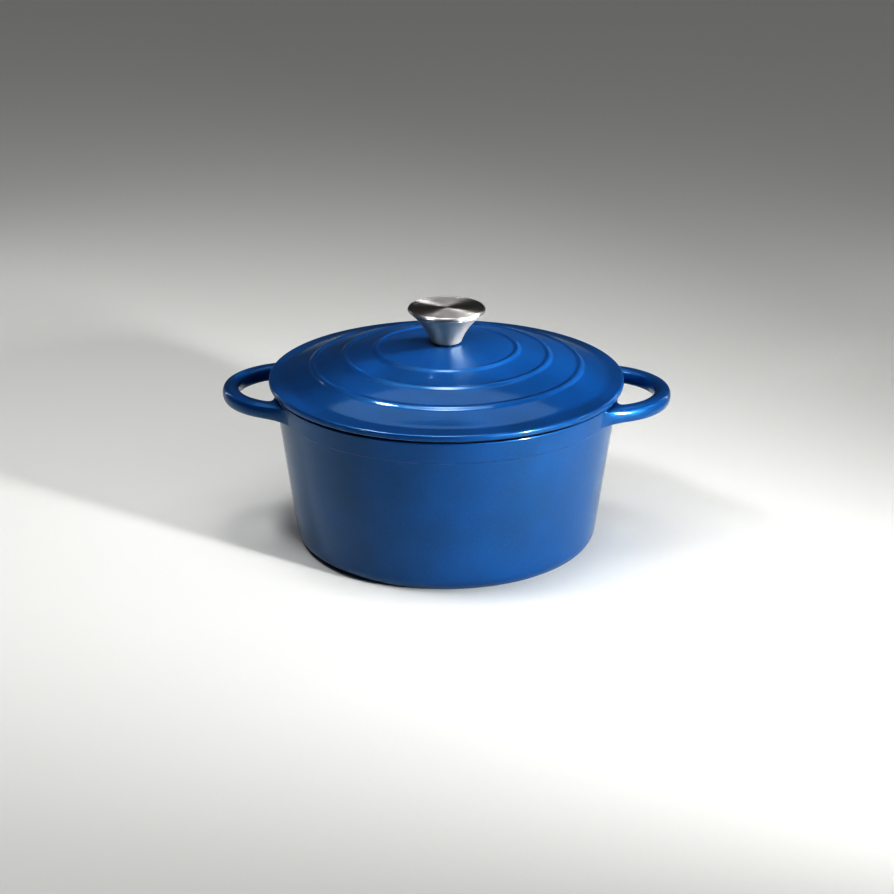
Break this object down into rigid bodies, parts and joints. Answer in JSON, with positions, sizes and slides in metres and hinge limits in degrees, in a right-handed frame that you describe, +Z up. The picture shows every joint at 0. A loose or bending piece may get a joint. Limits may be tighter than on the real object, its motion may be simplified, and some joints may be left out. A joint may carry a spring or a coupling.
{
  "type": "cast iron dutch oven",
  "caption": "Round enamelled cast iron dutch oven with loop handles and a domed, ringed lid that lifts off by a flared steel knob.",
  "frame": {"origin": "on the pot's axis, at the surface that the foot ring stands on", "axes": "+X through the two loop handles, +Z up along the pot's axis"},
  "size_m": [0.337, 0.266, 0.1809],
  "materials": {
    "enamelled_iron": "gloss blue vitreous enamel outside",
    "turned_steel": "satin turned stainless steel",
    "plated_steel": "plain zinc plated steel",
    "gasket": "matt black silicone"
  },
  "bodies": {
    "pot": {"pot": "enamelled_iron"},
    "lid": {"lid": "enamelled_iron", "knob_stem": "turned_steel", "knob_cap": "turned_steel", "knob_insert": "plated_steel", "knob_gasket": "gasket", "flat_washer": "plated_steel", "spring_washer": "plated_steel", "knob_screw": "plated_steel"}
  },
  "joints": [
    {"name": "lid_lift", "type": "slide", "parent": "pot", "child": "lid", "axis": [0, 0, 1], "range_m": [0, 0.2]}
  ]
}
